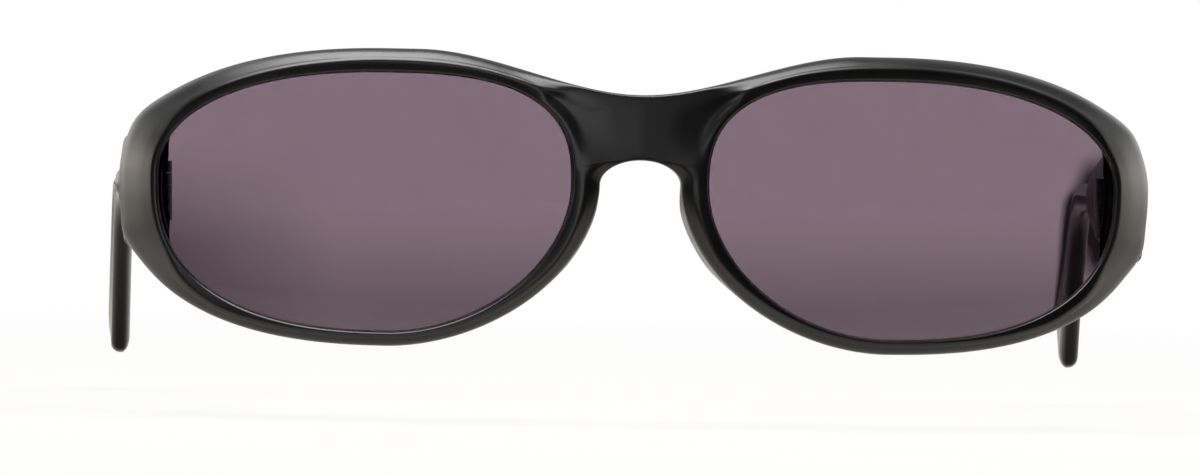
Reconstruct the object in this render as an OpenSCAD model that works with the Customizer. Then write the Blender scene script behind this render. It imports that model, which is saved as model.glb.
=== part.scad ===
// Oval wrap sunglasses, with temples that fold behind the lenses, the right one first.
// X runs across the face, the front looks along -Y and Z is up. The origin is midway between the
// lenses, on the sphere that both lenses follow. Left and right are the wearer's own, so left is +X.

/* [Lenses] */
// Width of a lens opening
lens_w = 55.6; // [53:0.2:58]
// Height of a lens opening
lens_h = 34.9; // [33:0.1:37]
// Lens thickness
lens_t = 2; // [1.6:0.1:2.4]
// Radius of the sphere that the lenses and the front follow
wrap_r = 165; // [150:1:200]
// From a lens's tallest line to its nose-side edge
lens_nose_reach = 24.7; // [23:0.1:26]
// From a lens's widest line up to its top edge
lens_top_reach = 14.6; // [13.5:0.1:15.5]
// Depth of the groove that holds a lens
groove = 0.8; // [0.6:0.05:1]
// Gap between a lens and its groove
lens_fit = 0.08; // [0.05:0.01:0.12]

/* [Front] */
// Distance between the two lens openings
bridge_w = 18.6; // [17.6:0.1:19.6]
// Height of the bridge at its middle
bridge_h = 8.8; // [7.5:0.1:10]
// Top of the nose arch above the lenses' widest line
arch_rise = 3.4; // [2.5:0.1:4.5]
// Half the width of the nose gap at the lenses' widest line
nose_half = 5.5; // [5:0.1:6]
// Height of the lenses' widest line over the origin
brow_z = 2.8; // [2:0.1:3.5]
// Half the width over which the brow line rises from the bridge
brow_blend = 30; // [26:1:33]
// Rim width beside the temple
rim_side = 5.2; // [5:0.1:6]
// Rim width over the lens
rim_top = 3.3; // [2.8:0.1:4]
// Rim width under the lens
rim_bottom = 2.1; // [1.9:0.1:2.6]
// Front of the ridge ahead of the lens's middle
ridge_front = 2.3; // [2:0.1:2.6]
// Back of the rim behind the lens's middle
rim_back = 2.1; // [1.9:0.1:2.4]
// From the lens opening out to the ridge, where the rim is wide enough
ridge_in = 1.7; // [1.3:0.1:1.8]
// Width of the rim outside the ridge, where it is narrowest
band_w = 1.5; // [1.3:0.1:1.6]
// Height of the end's corners over and under the lenses' widest line
corner_rise = 8.2; // [7.5:0.1:9]
// How far the end's corners stand out of the oval
corner_out = 0.55; // [0.2:0.05:0.8]
// How far the nose pads stand back from the rim
pad_out = 3.2; // [2:0.1:4]
// How far the nose pads lean in towards the nose
pad_lean = 0.3; // [0:0.1:0.6]

/* [Hinges] */
// From the hinge pin forward to the origin's plane
pin_back = 19.5; // [19.3:0.1:21]
// Height of the hinge middle over the origin
pin_z = 0.7; // [0:0.1:1.5]
// From the pin to the temple's inner face
leaf_offset = 1.7; // [1.7:0.05:2]
// Radius of a hinge knuckle
knuckle_r = 1.5; // [1.35:0.05:1.5]
// Height of a hinge knuckle
knuckle_h = 1.55; // [1.4:0.05:1.7]
// Gap between two knuckles
knuckle_gap = 0.06; // [0.04:0.01:0.08]
// Radius of the hinge screw's shank
screw_r = 0.7; // [0.6:0.05:0.8]
// Radial clearance of the screw in the knuckles
screw_fit = 0.05; // [0.03:0.01:0.08]
// Radius of the screw's head
head_r = 1.1; // [1:0.05:1.15]
// Height of the screw's head
head_h = 0.6; // [0.5:0.05:0.8]
// Thickness of the hinge plates sunk in the plastic
plate_t = 1.2; // [0.9:0.1:1.3]
// Length of the temple's hinge plate
plate_len = 9; // [7:0.5:11]
// Radius of the anchor pins under a plate
anchor_r = 0.6; // [0.5:0.05:0.7]
// Gap between the temple's end and the front when the temple is open
butt_gap = 0.2; // [0.16:0.02:0.3]
// From the temple's end to its hinge plate
plate_in = 0.5; // [0.4:0.1:0.8]

/* [Temples] */
// Height of the temple at the hinge
temple_h = 15.4; // [14:0.2:16]
// Thickness of the temple at the hinge
temple_t = 4; // [3.8:0.1:4.2]
// From the pin to the joint of temple and tip
seam_at = 65.9; // [62:0.1:68]
// Height of the temple at that joint
seam_h = 3.6; // [3.4:0.1:4]
// Gap at that joint, where the core shows
seam_gap = 0.6; // [0.5:0.05:0.8]
// Thickness of the tip
tip_t = 3; // [2.8:0.1:3.2]
// Height of the tip from its start to the ear bend
tip_slim = 4; // [3.8:0.1:4.4]
// Height of the tip's paddle
tip_wide = 11.6; // [10:0.2:12]
// Round corners at the start of the tip
start_round = 0.9; // [0.7:0.1:1.4]
// From the pin to the start of the ear bend
bend_at = 85; // [80:1:90]
// Radius of the ear bend
bend_r = 40; // [32:1:50]
// Angle of the ear bend
bend_deg = 31; // [28:1:33]
// From the end of the ear bend to the end of the tip
tail_len = 31.9; // [29:0.1:34]
// Thickness of the flat wire core in a temple
core_t = 1.2; // [1:0.05:1.4]
// Height of the wire core
core_h = 2; // [1.6:0.1:2.2]
// From the temple's hinge plate to the core's slot
core_clear = 1.5; // [1:0.5:4]
// From the end of the core's slot to the end of the tip
core_short = 14; // [12:1:20]
// Room at each end of the core in its slot
core_room = 0.5; // [0.3:0.1:1]
// Clearance all round the core in its slot
core_fit = 0.05; // [0.03:0.01:0.1]

/* [Fold] */
// Fold of the right temple, from open
fold_right = 0; // [0:0.1:91.6]
// Fold of the left temple, from open, which ends where it lies on the right one
fold_left = 0; // [0:0.1:87.8]
// Rise of the right temple along its length when folded
rise_right = 1.05; // [0.6:0.05:1.3]
// Drop of the left temple along its length when folded
drop_left = 2.2; // [1.9:0.05:2.6]

/* [Hidden] */
$fn = 64;
cut_over = 0.5;

satin_black = [0.15, 0.145, 0.15];
gloss_black = [0.06, 0.06, 0.065];
lens_tint = [0.5, 0.43, 0.48, 0.6];
hinge_metal = [0.3, 0.29, 0.28];
core_metal = [0.6, 0.59, 0.57];

// Lens and rim ovals, as reaches from their shared centre: outward, nose side, up, down.
// Each quarter is a superellipse, and the powers go outer top, nose top, nose bottom, outer bottom.
oval_x = bridge_w / 2 + lens_nose_reach;
lens_reach = [lens_w - lens_nose_reach, lens_nose_reach, lens_top_reach, lens_h - lens_top_reach];
lens_power = [2.25, 2.75, 1.9, 2.5];
rim_reach = [
  lens_reach[0] + rim_side, oval_x - nose_half, lens_reach[2] + rim_top, lens_reach[3] + rim_bottom
];
rim_power = [2.2, 2.2, 1.87, 2.43];
brow_top = brow_z + rim_reach[2];
arch_top = brow_z + arch_rise;
bridge_top = arch_top + bridge_h;

// Rim section
edge_r = 0.4;
lip_t = 0.35;
groove_half = lens_t / 2 + lens_fit;
rim_edge_front = -0.9;
bridge_front = -1.9;
end_edge_front = 1.1;
butt_y = pin_back - butt_gap / 2;
// How far the front's ends stand outside the temples, and above and below them
end_over = 0.3;
pin_x = oval_x + rim_reach[0] - temple_t - leaf_offset - end_over;

// Hinge
hinge_h = 5 * knuckle_h + 4 * knuckle_gap;
plate_gap = 0.2;
anchor_z = hinge_h / 4;
anchor_len = 1.3;
front_plate_w = 3.1;
neck_t = 1.1;
slot_w = 0.3;
// Anchors of the temple's plate, as parts of its length
temple_anchors = [0.3, 0.75];

// Temple outline along its centre line
core_y = leaf_offset + temple_t / 2;
temple_end = seam_at - seam_gap / 2;
tip_start = seam_at + seam_gap / 2;
bend_len = bend_r * bend_deg * PI / 180;
tip_end = bend_at + bend_len + tail_len;
core_from = butt_gap / 2 + plate_len + core_clear;
core_to = tip_end - core_short;

function mix(a, b, k) = a + (b - a) * k;
function clamp01(k) = max(0, min(1, k));
function smooth(k) = let (c = clamp01(k)) c * c * (3 - 2 * c);
function unit(v) = v / norm(v);

// Corner of an oval's quarter that holds the direction a, in degrees
function quarter(a) = cos(a) >= 0 ? (sin(a) >= 0 ? 0 : 3) : (sin(a) >= 0 ? 1 : 2);
function oval_radius(a, reach, power) =
  let (
    n = power[quarter(a)],
    h = cos(a) >= 0 ? reach[0] : reach[1],
    v = sin(a) >= 0 ? reach[2] : reach[3]
  )
  pow(pow(abs(cos(a)) / h, n) + pow(abs(sin(a)) / v, n), -1 / n);
function oval_point(t, reach, power) =
  let (
    n = power[quarter(t)],
    h = cos(t) >= 0 ? reach[0] : -reach[1],
    v = sin(t) >= 0 ? reach[2] : -reach[3]
  )
  [oval_x + h * pow(abs(cos(t)), 2 / n), brow_z + v * pow(abs(sin(t)), 2 / n)];

// Height of the front's outline over x, from the bridge to the top of the rim
function brow_line(x) = mix(bridge_top, brow_top, smooth(x / brow_blend));

// The rim's outline: an oval with a corner above and below the temple's end
corner_fade = 2.6;
function corner_share(p) =
  p[0] < oval_x ? 0 : exp(-pow((abs(p[1] - brow_z) - corner_rise) / corner_fade, 2));
function rim_point(t) =
  let (p = oval_point(t, rim_reach, rim_power))
  p + unit(p - [oval_x, brow_z]) * corner_out * corner_share(p);

// Depth of the surface that lies "back" behind the lenses' middle sphere
function wrap_y(x, z, back) = wrap_r - sqrt(pow(wrap_r - back, 2) - x * x - z * z);

// Outline of the front's left half, from the middle of the bridge over the brow and round to the nose
brow_steps = 14;
rim_steps = 17;
arch_steps = 6;
bridge_steps = 4;
outline = concat(
  [for (i = [0:brow_steps - 1]) let (x = oval_x * i / brow_steps) [x, brow_line(x)]],
  [for (i = [0:3 * rim_steps - 1]) rim_point(90 * (1 - i / rim_steps))],
  [for (i = [0:arch_steps])
    let (t = 90 * i / arch_steps)
    [nose_half * cos(t), brow_z + arch_rise * sin(t)]],
  [for (i = [0:bridge_steps])
    [0, mix(arch_top + edge_r, bridge_top - edge_r, i / bridge_steps)]]
);
stations = len(outline);
arch_end = brow_steps + 3 * rim_steps + arch_steps;

function on_bridge_middle(i) = i > arch_end;
function outline_normal(i) =
  i == 0 ? [0, 1] :
  i == arch_end ? [0, -1] :
  on_bridge_middle(i) ? [-1, 0] :
  let (v = outline[(i + 1) % stations] - outline[i - 1]) unit([-v[1], v[0]]);

// How much of the end piece a point has: 1 at the temple's height, 0 above and below
function end_piece(p, fade) =
  p[0] < oval_x ? 0 : smooth((temple_h / 2 + end_over + fade - abs(p[1] - pin_z)) / fade);
// How much of the nose pad a point has
pad_mid = -4.5;
pad_half = 8;
pad_fade = 5;
pad_reach_x = oval_x - 10;
pad_reach_z = arch_top - 1.5;
function nose_pad(p) =
  p[0] > pad_reach_x || p[1] > pad_reach_z ? 0 : smooth((pad_half - abs(p[1] - pad_mid)) / pad_fade);

// The bridge's face is flat up to the first x, and has turned into the rims at the second
bridge_blend = [3, 9];
end_fade = 2.6;
slope_fade = 8;
crown = 0.12;
back_bevel = 0.35;
back_drop = 0.15;

// One closed section of the front, from the lens groove over the ridge and the edge to the back
function rim_section(i) =
  let (
    p = outline[i],
    c = [oval_x, brow_z],
    ray = unit(p - c),
    a = atan2(ray[1], ray[0]),
    q = c + ray * oval_radius(a, lens_reach, lens_power),
    w = norm(p - q),
    n = outline_normal(i),
    mid = on_bridge_middle(i),
    corner = i == 0 || i == arch_end,
    e = end_piece(p, end_fade),
    slope = end_piece(p, slope_fade),
    pad = nose_pad(p),
    ridge = min(ridge_in, w - band_w),
    inset = mid ? [3 * edge_r, p[1]] : p - n * edge_r + (corner ? [edge_r, 0] : [0, 0]),
    bridge = smooth((bridge_blend[1] - p[0]) / (bridge_blend[1] - bridge_blend[0])),
    front = mix(mix(rim_edge_front, end_edge_front, slope), bridge_front + edge_r, bridge),
    front_in = mid ? bridge_front : front - 0.75 * edge_r,
    edge = mid ? bridge_front : front,
    ridge_point = q + ray * ridge,
    band = mix(ridge_point, inset, 0.5),
    band_back = mix(mix(-ridge_front, front_in, 0.5), bridge_front, bridge) - crown * (1 - bridge),
    lean = n * pad_lean * pad,
    pad_back = rim_back + pad_out * pad,
    back_inset = mid ? inset : inset + lean,
    back_mid = mix(mix(q, back_inset, 0.5), q + ray * (w - temple_t - end_over), e)
  )
  [
    wrapped(q + ray * groove, -groove_half),
    wrapped(q, -groove_half),
    wrapped(q, -groove_half - lip_t),
    wrapped(q + ray * ridge * 0.75, -ridge_front + crown),
    wrapped(ridge_point, -ridge_front),
    wrapped(band, band_back),
    wrapped(inset, front_in),
    wrapped(p, edge),
    mix_y(wrapped(p + lean, mid ? rim_back : pad_back - edge_r), butt_y - edge_r, e),
    mix_y(wrapped(back_inset, mid ? rim_back : pad_back), butt_y, e),
    mix_y(wrapped(back_mid, rim_back + 0.35 * pad_out * pad), butt_y, e),
    wrapped(q + ray * back_bevel, rim_back - back_drop),
    wrapped(q, groove_half + lip_t),
    wrapped(q, groove_half),
    wrapped(q + ray * groove, groove_half)
  ];
function wrapped(p, back) = [p[0], wrap_y(p[0], p[1], back), p[1]];
function mix_y(p, y, k) = [p[0], mix(p[1], y, k), p[2]];

sections = [for (i = [0:stations - 1]) rim_section(i)];
levels = len(sections[0]);
edge_level = 7;

// The front's skin: both halves share the vertices in the middle plane of the bridge
module front_skin() {
  half = [for (s = sections, p = s) p];
  other = [for (p = half) [-p[0], p[1], p[2]]];
  quads = [
    for (i = [0:stations - 1], j = [0:levels - 1])
      if (!(i >= arch_end && j == edge_level))
        let (
          k = (i + 1) % stations,
          m = (j + 1) % levels
        )
        [i * levels + j, i * levels + m, k * levels + m, k * levels + j]
  ];
  count = len(half);
  faces = concat(
    [for (f = quads) [f[0], f[1], f[2]]],
    [for (f = quads) [f[0], f[2], f[3]]],
    [for (f = quads) [f[2] + count, f[1] + count, f[0] + count]],
    [for (f = quads) [f[3] + count, f[2] + count, f[0] + count]]
  );
  polyhedron(points = concat(half, other), faces = faces, convexity = 8);
}

// Puts what is drawn round a hinge pin at the origin, with the arm along +X when folded square and
// along +Y when open, on the wearer's right (-X) or, mirrored, on the left. turn is the angle from
// folded square, and lift is the hinge's lean, by which the folded arm rises.
module at_hinge(side, turn = 0) {
  lift = side == "right" ? rise_right : -drop_left;
  mirror([side == "right" ? 0 : 1, 0, 0])
    translate([-pin_x, pin_back, pin_z])
      rotate([0, -lift, 0])
        rotate([0, 0, turn])
          children();
}
function turn_of(side) = 90 - (side == "right" ? fold_right : fold_left);

// Hinge parts, round the pin: x along the folded temple, -x towards the end piece, y backward
function knuckle_bottom(k) = -hinge_h / 2 + k * (knuckle_h + knuckle_gap);

module knuckles(list) {
  for (k = list)
    translate([0, 0, knuckle_bottom(k)])
      cylinder(r = knuckle_r, h = knuckle_h);
}

module screw_bore() {
  translate([0, 0, -hinge_h / 2 - cut_over])
    cylinder(r = screw_r + screw_fit, h = hinge_h + 2 * cut_over);
  translate([0, 0, hinge_h / 2 - head_h])
    cylinder(r = head_r + screw_fit, h = head_h + cut_over);
}

module front_plate(grow = 0) {
  translate([-leaf_offset - front_plate_w, -plate_t - butt_gap / 2, -hinge_h / 2])
    cube([front_plate_w + grow, plate_t + grow, hinge_h]);
  for (z = [-anchor_z, anchor_z])
    translate([-leaf_offset - front_plate_w / 2, -butt_gap / 2 - plate_t - anchor_len, z])
      rotate([-90, 0, 0])
        cylinder(r = anchor_r, h = anchor_len + plate_t / 2);
}

module front_hinge(side) {
  color(hinge_metal)
    at_hinge(side)
      difference() {
        union() {
          knuckles([0, 2, 4]);
          for (k = [0, 2, 4])
            translate([-leaf_offset - plate_t, -butt_gap / 2 - neck_t, knuckle_bottom(k)])
              cube([leaf_offset + plate_t, neck_t, knuckle_h]);
          front_plate();
        }
        screw_bore();
      }
}

module temple_plate(grow = 0) {
  translate([butt_gap / 2 + plate_in, leaf_offset - grow, -hinge_h / 2])
    cube([plate_len, plate_t + grow, hinge_h]);
  for (k = temple_anchors)
    translate([butt_gap / 2 + plate_in + plate_len * k, leaf_offset + plate_t / 2, 0])
      rotate([-90, 0, 0])
        cylinder(r = anchor_r, h = plate_t / 2 + anchor_len);
}

module temple_hinge(side) {
  color(hinge_metal)
    at_hinge(side, turn_of(side))
      difference() {
        union() {
          knuckles([1, 3]);
          for (k = [1, 3])
            translate([butt_gap / 2 + plate_in, 0, knuckle_bottom(k)])
              cube([neck_t, leaf_offset + plate_t / 2, knuckle_h]);
          temple_plate();
        }
        screw_bore();
      }
}

module hinge_screw(side) {
  color(hinge_metal)
    at_hinge(side)
      difference() {
        union() {
          translate([0, 0, -hinge_h / 2])
            cylinder(r = screw_r, h = hinge_h - head_h / 2);
          translate([0, 0, hinge_h / 2 - head_h])
            cylinder(r = head_r, h = head_h);
        }
        translate([-head_r - cut_over, -slot_w / 2, hinge_h / 2 - head_h / 2])
          cube([2 * (head_r + cut_over), slot_w, head_h]);
      }
}

module front_frame() {
  color(satin_black)
    difference() {
      front_skin();
      for (side = ["left", "right"])
        at_hinge(side) {
          front_plate(cut_over);
          translate([0, 0, -hinge_h / 2 - plate_gap])
            cylinder(r = knuckle_r + plate_gap, h = hinge_h + 2 * plate_gap);
        }
    }
}

// A lens: the shell between two spheres, cut to the oval that fills the groove
lens_steps = 68;
module lens(side) {
  edge = groove - lens_fit;
  lens_outline = [
    for (i = [0:lens_steps - 1])
      let (a = 360 * i / lens_steps, r = oval_radius(a, lens_reach, lens_power) + edge)
      [oval_x + r * cos(a), brow_z + r * sin(a)]
  ];
  color(lens_tint)
    mirror([side == "right" ? 1 : 0, 0, 0])
      intersection() {
        translate([0, wrap_r, 0])
          difference() {
            sphere(r = wrap_r + lens_t / 2, $fn = 180);
            sphere(r = wrap_r - lens_t / 2, $fn = 180);
          }
        rotate([90, 0, 0])
          linear_extrude(height = 2 * pin_back + 10, center = true)
            polygon(lens_outline);
      }
}

// Temple and tip are swept along one centre line: straight, round the ear bend, and straight again
function line_point(s) =
  let (a = min(bend_deg, max(0, s - bend_at) / bend_r * 180 / PI), rest = max(0, s - bend_at - bend_len))
  [
    min(s, bend_at) + bend_r * sin(a) + rest * cos(a),
    -bend_r * (1 - cos(a)) - rest * sin(a),
    a
  ];

// Section of a temple: flat inner face, crowned outer face, round corners. Points are [y, height].
function arm_section(h, t, inner_r, outer_r, crown) =
  let (ri = min(inner_r, 0.8 * h, 0.45 * t), ro = min(outer_r, 0.8 * h, 0.5 * t), k = crown * t)
  concat(
    [for (a = [180, 225, 270]) [ri + ri * cos(a), -h + ri + ri * sin(a)]],
    [for (a = [-90, -60, -30, 0]) [t - k - ro + ro * cos(a), -h + ro + ro * sin(a)]],
    [for (u = [-0.5, 0, 0.5]) [t - k * 4 * u * u * 0.9, u * 1.1 * (h - ro)]],
    [for (a = [0, 30, 60, 90]) [t - k - ro + ro * cos(a), h - ro + ro * sin(a)]],
    [for (a = [90, 135, 180]) [ri + ri * cos(a), h - ri + ri * sin(a)]]
  );

function arm_ring(s, y, section) =
  let (c = line_point(s))
  [for (q = section) [c[0] + q[1] * sin(c[2]), y + q[0], c[1] + q[1] * cos(c[2])]];

module swept(rings) {
  sides = len(rings[0]);
  last = len(rings) - 1;
  quads = [
    for (i = [0:last - 1], j = [0:sides - 1])
      [i * sides + j, i * sides + (j + 1) % sides, (i + 1) * sides + (j + 1) % sides, (i + 1) * sides + j]
  ];
  polyhedron(
    points = [for (r = rings, p = r) p],
    faces = concat(
      [for (f = quads) [f[0], f[2], f[1]]],
      [for (f = quads) [f[0], f[3], f[2]]],
      [[for (j = [0:sides - 1]) j]],
      [[for (j = [sides - 1:-1:0]) last * sides + j]]
    ),
    convexity = 4
  );
}

// Half the temple's height, which falls away to the slim joint
function temple_half(s) = mix(temple_h, seam_h, pow(clamp01(s / seam_at), 2.2)) / 2;
function temple_thick(s) = mix(temple_t, tip_t + 0.2, smooth(s / seam_at));
end_round = 0.5;

// The flat wire core, or its bore: a bar with chamfered corners along the same centre line
function core_section(grow) =
  let (t = core_t / 2 + grow, h = core_h / 2 + grow, c = core_t / 4)
  [[-t, -h + c], [-t + c, -h], [t - c, -h], [t, -h + c], [t, h - c], [t - c, h], [-t + c, h], [-t, h - c]];
bend_steps = 6;
module core_route(grow, from, to) {
  stops = concat(
    [from],
    to > bend_at ? [for (i = [0:bend_steps]) bend_at + bend_len * i / bend_steps] : [],
    [to]
  );
  swept([for (s = stops) arm_ring(s, core_y, core_section(grow))]);
}

module temple(side) {
  steps = 13;
  first = butt_gap / 2 + end_round;
  last = temple_end - end_round;
  rings = concat(
    [temple_ring(butt_gap / 2, 0.94)],
    [for (i = [0:steps]) temple_ring(mix(first, last, i / steps), 1)],
    [temple_ring(temple_end, 0.8)]
  );
  color(satin_black)
    at_hinge(side, turn_of(side))
      difference() {
        swept(rings);
        temple_plate(cut_over);
        core_route(core_fit, core_from, temple_end + cut_over);
      }
}
// A temple's section at s, scaled in height by k. Its inner face stays flat near the hinge.
function temple_ring(s, k) =
  let (t = temple_thick(s), f = smooth(s / seam_at), y = core_y - mix(temple_t, t, f) / 2)
  arm_ring(s, y, arm_section(temple_half(s) * k, t, 0.5, 1.2, 0.12));

// Half the tip's height: a slim run into the ear bend, then a paddle that widens to its round end
flare_from = bend_at + 10;
paddle_r = tip_wide / 2;
paddle_at = tip_end - paddle_r;
function tip_flare(s) =
  let (u = clamp01((s - flare_from) / (paddle_at + 0.7 - flare_from)))
  1 - pow(1 - pow(u, 2.1), 1.1);
function tip_half(s) = mix(tip_slim, tip_wide, tip_flare(s)) / 2;
function tip_cap(s) =
  s < tip_start + start_round ? sqrt(1 - pow((tip_start + start_round - s) / start_round * 0.8, 2)) :
  s > paddle_at ? sqrt(max(0, 1 - pow((s - paddle_at) / paddle_r, 2))) : 1;

module temple_tip(side) {
  cap_steps = 6;
  stops = concat(
    [for (k = [0, 0.25, 0.6, 1]) tip_start + start_round * k],
    [for (i = [1:4]) mix(tip_start + start_round, bend_at, i / 4)],
    [for (i = [1:6]) bend_at + bend_len * i / 6],
    [for (i = [1:5]) mix(bend_at + bend_len, paddle_at, i / 5)],
    [for (i = [1:cap_steps]) paddle_at + paddle_r * sin(86 * i / cap_steps)]
  );
  rings = [
    for (s = stops)
      let (k = tip_cap(s), t = tip_t * mix(0.45, 1, pow(k, 0.8)))
      arm_ring(s, core_y - t / 2, arm_section(tip_half(s) * k, t, 1.1, 1.3, 0.1))
  ];
  color(gloss_black)
    at_hinge(side, turn_of(side))
      difference() {
        swept(rings);
        core_route(core_fit, tip_start - cut_over, core_to);
      }
}

module temple_core(side) {
  color(core_metal)
    at_hinge(side, turn_of(side))
      core_route(0, core_from + core_room, core_to - core_room);
}

front_frame();
lens("left");  // left_lens
lens("right");  // right_lens
front_hinge("left");  // left_front_hinge
front_hinge("right");  // right_front_hinge
hinge_screw("left");  // left_hinge_screw
hinge_screw("right");  // right_hinge_screw
temple("left");  // left_temple
temple("right");  // right_temple
temple_hinge("left");  // left_temple_hinge
temple_hinge("right");  // right_temple_hinge
temple_core("left");  // left_temple_core
temple_core("right");  // right_temple_core
temple_tip("left");  // left_temple_tip
temple_tip("right");  // right_temple_tip
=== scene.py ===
import math

import bmesh
import bpy
from mathutils import Matrix, Vector


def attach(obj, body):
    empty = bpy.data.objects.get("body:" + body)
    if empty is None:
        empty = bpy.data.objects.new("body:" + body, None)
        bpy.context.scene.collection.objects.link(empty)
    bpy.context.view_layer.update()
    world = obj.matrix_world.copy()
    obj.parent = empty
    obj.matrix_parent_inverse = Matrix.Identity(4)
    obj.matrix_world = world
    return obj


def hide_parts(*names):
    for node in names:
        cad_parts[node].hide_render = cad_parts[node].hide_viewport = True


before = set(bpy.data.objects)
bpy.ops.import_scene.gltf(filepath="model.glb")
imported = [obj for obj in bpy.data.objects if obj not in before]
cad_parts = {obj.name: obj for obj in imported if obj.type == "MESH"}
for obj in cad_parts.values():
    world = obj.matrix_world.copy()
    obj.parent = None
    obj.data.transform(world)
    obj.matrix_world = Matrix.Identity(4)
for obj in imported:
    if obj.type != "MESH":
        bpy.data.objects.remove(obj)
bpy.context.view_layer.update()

# Lengths are in millimetres, as in the CAD source, until a mesh is made. Lights, the floor and the
# card behind the object are in metres. Left and right are the wearer's own, so left is +X.
MM = 0.001

# Sizes of the object, as in the CAD source
WRAP_R = 165.0
LENS_W, LENS_H, LENS_T = 55.6, 34.9, 2.0
NOSE_REACH, TOP_REACH = 24.7, 14.6
GROOVE, LENS_FIT = 0.8, 0.08
BRIDGE_W, BRIDGE_H, ARCH_RISE, NOSE_HALF = 18.6, 8.8, 3.4, 5.5
BROW_Z, BROW_BLEND = 2.8, 30.0
RIM_SIDE, RIM_TOP, RIM_BOTTOM = 5.2, 3.3, 2.1
RIDGE_FRONT, RIM_BACK, RIDGE_IN, BAND_W = 2.3, 2.1, 1.7, 1.5
CORNER_RISE, CORNER_OUT, CORNER_FADE = 8.2, 0.55, 2.6
PAD_OUT, PAD_LEAN, PAD_MID, PAD_HALF = 3.2, 0.3, -4.5, 8.0
PIN_BACK, PIN_Z, LEAF_OFFSET = 19.5, 0.7, 1.7
KNUCKLE_R, KNUCKLE_H, KNUCKLE_GAP = 1.5, 1.55, 0.06
PLATE_T, PLATE_LEN, FRONT_PLATE_W, PLATE_GAP = 1.2, 9.0, 3.1, 0.2
BUTT_GAP, END_OVER, PLATE_IN = 0.2, 0.3, 0.5
TEMPLE_H, TEMPLE_T = 15.4, 4.0
SEAM_AT, SEAM_H, SEAM_GAP = 65.9, 3.6, 0.6
TIP_T, TIP_SLIM, TIP_WIDE, START_ROUND = 3.0, 4.0, 11.6, 0.9
BEND_AT, BEND_R, BEND_DEG, TAIL_LEN = 85.0, 40.0, 31.0, 31.9
RISE_RIGHT, DROP_LEFT = 1.05, 2.2

OVAL_X = BRIDGE_W / 2 + NOSE_REACH
LENS_REACH = (LENS_W - NOSE_REACH, NOSE_REACH, TOP_REACH, LENS_H - TOP_REACH)
LENS_POWER = (2.25, 2.75, 1.9, 2.5)
RIM_REACH = (
    LENS_REACH[0] + RIM_SIDE,
    OVAL_X - NOSE_HALF,
    LENS_REACH[2] + RIM_TOP,
    LENS_REACH[3] + RIM_BOTTOM,
)
RIM_POWER = (2.2, 2.2, 1.87, 2.43)
BROW_TOP = BROW_Z + RIM_REACH[2]
ARCH_TOP = BROW_Z + ARCH_RISE
BRIDGE_TOP = ARCH_TOP + BRIDGE_H
EDGE_R, LIP_T = 0.4, 0.35
GROOVE_HALF = LENS_T / 2 + LENS_FIT
BUTT_Y = PIN_BACK - BUTT_GAP / 2
PIN_X = OVAL_X + RIM_REACH[0] - TEMPLE_T - LEAF_OFFSET - END_OVER
HINGE_H = 5 * KNUCKLE_H + 4 * KNUCKLE_GAP
CORE_Y = LEAF_OFFSET + TEMPLE_T / 2
TEMPLE_END = SEAM_AT - SEAM_GAP / 2
TIP_START = SEAM_AT + SEAM_GAP / 2
BEND_LEN = BEND_R * math.radians(BEND_DEG)
TIP_END = BEND_AT + BEND_LEN + TAIL_LEN


def mix(a, b, k):
    return a + (b - a) * k


def clamp01(k):
    return max(0.0, min(1.0, k))


def smooth(k):
    c = clamp01(k)
    return c * c * (3 - 2 * c)


# Meshes and objects
WELD = 1e-7  # metres


def add_object(name, data):
    obj = bpy.data.objects.new(name, data)
    bpy.context.scene.collection.objects.link(obj)
    return obj


def closed_mesh(name, points, faces):
    """A mesh from points in millimetres, welded and with its faces turned outwards."""
    mesh = bpy.data.meshes.new(name)
    mesh.from_pydata([Vector(p) * MM for p in points], [], faces)
    bm = bmesh.new()
    bm.from_mesh(mesh)
    bmesh.ops.remove_doubles(bm, verts=bm.verts, dist=WELD)
    bmesh.ops.recalc_face_normals(bm, faces=bm.faces)
    bm.to_mesh(mesh)
    bm.free()
    return mesh


def new_piece(name, points, faces, material):
    mesh = closed_mesh(name, points, faces)
    mesh.materials.append(material)
    return add_object(name, mesh)


def settle(piece, body, nodes, sharp_deg=32):
    """Shades a finished piece smoothly between sharp edges and ties it to the frame."""
    mesh = piece.data
    mesh.shade_smooth()
    mesh.set_sharp_from_angle(angle=math.radians(sharp_deg))
    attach(piece, body)
    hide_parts(*nodes)
    return piece


def cut(piece, name, solid):
    """Cuts a closed solid, given as its points and faces, out of a piece."""
    cutter = add_object(name, closed_mesh(name, *solid))
    mod = piece.modifiers.new("cut", "BOOLEAN")
    mod.operation = "DIFFERENCE"
    mod.solver = "EXACT"
    mod.object = cutter
    graph = bpy.context.evaluated_depsgraph_get()
    graph.update()
    mesh = bpy.data.meshes.new_from_object(piece.evaluated_get(graph))
    piece.modifiers.clear()
    old = piece.data
    piece.data = mesh
    mesh.name = old.name
    bpy.data.meshes.remove(old)
    tool = cutter.data
    bpy.data.objects.remove(cutter)
    bpy.data.meshes.remove(tool)


def ring_quads(rows, sides):
    """Faces between closed rings of points that follow one another."""
    faces = []
    for i in range(rows):
        for j in range(sides):
            m = (j + 1) % sides
            row, after = i * sides, (i + 1) * sides
            faces.append([row + j, row + m, after + m, after + j])
    return faces


BOX_FACES = [[0, 1, 3, 2], [4, 6, 7, 5], [0, 4, 5, 1], [2, 3, 7, 6], [0, 2, 6, 4], [1, 5, 7, 3]]


def box_solid(low, high, place):
    xs, ys, zs = zip(low, high)
    return [place @ Vector((x, y, z)) for x in xs for y in ys for z in zs], BOX_FACES


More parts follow.
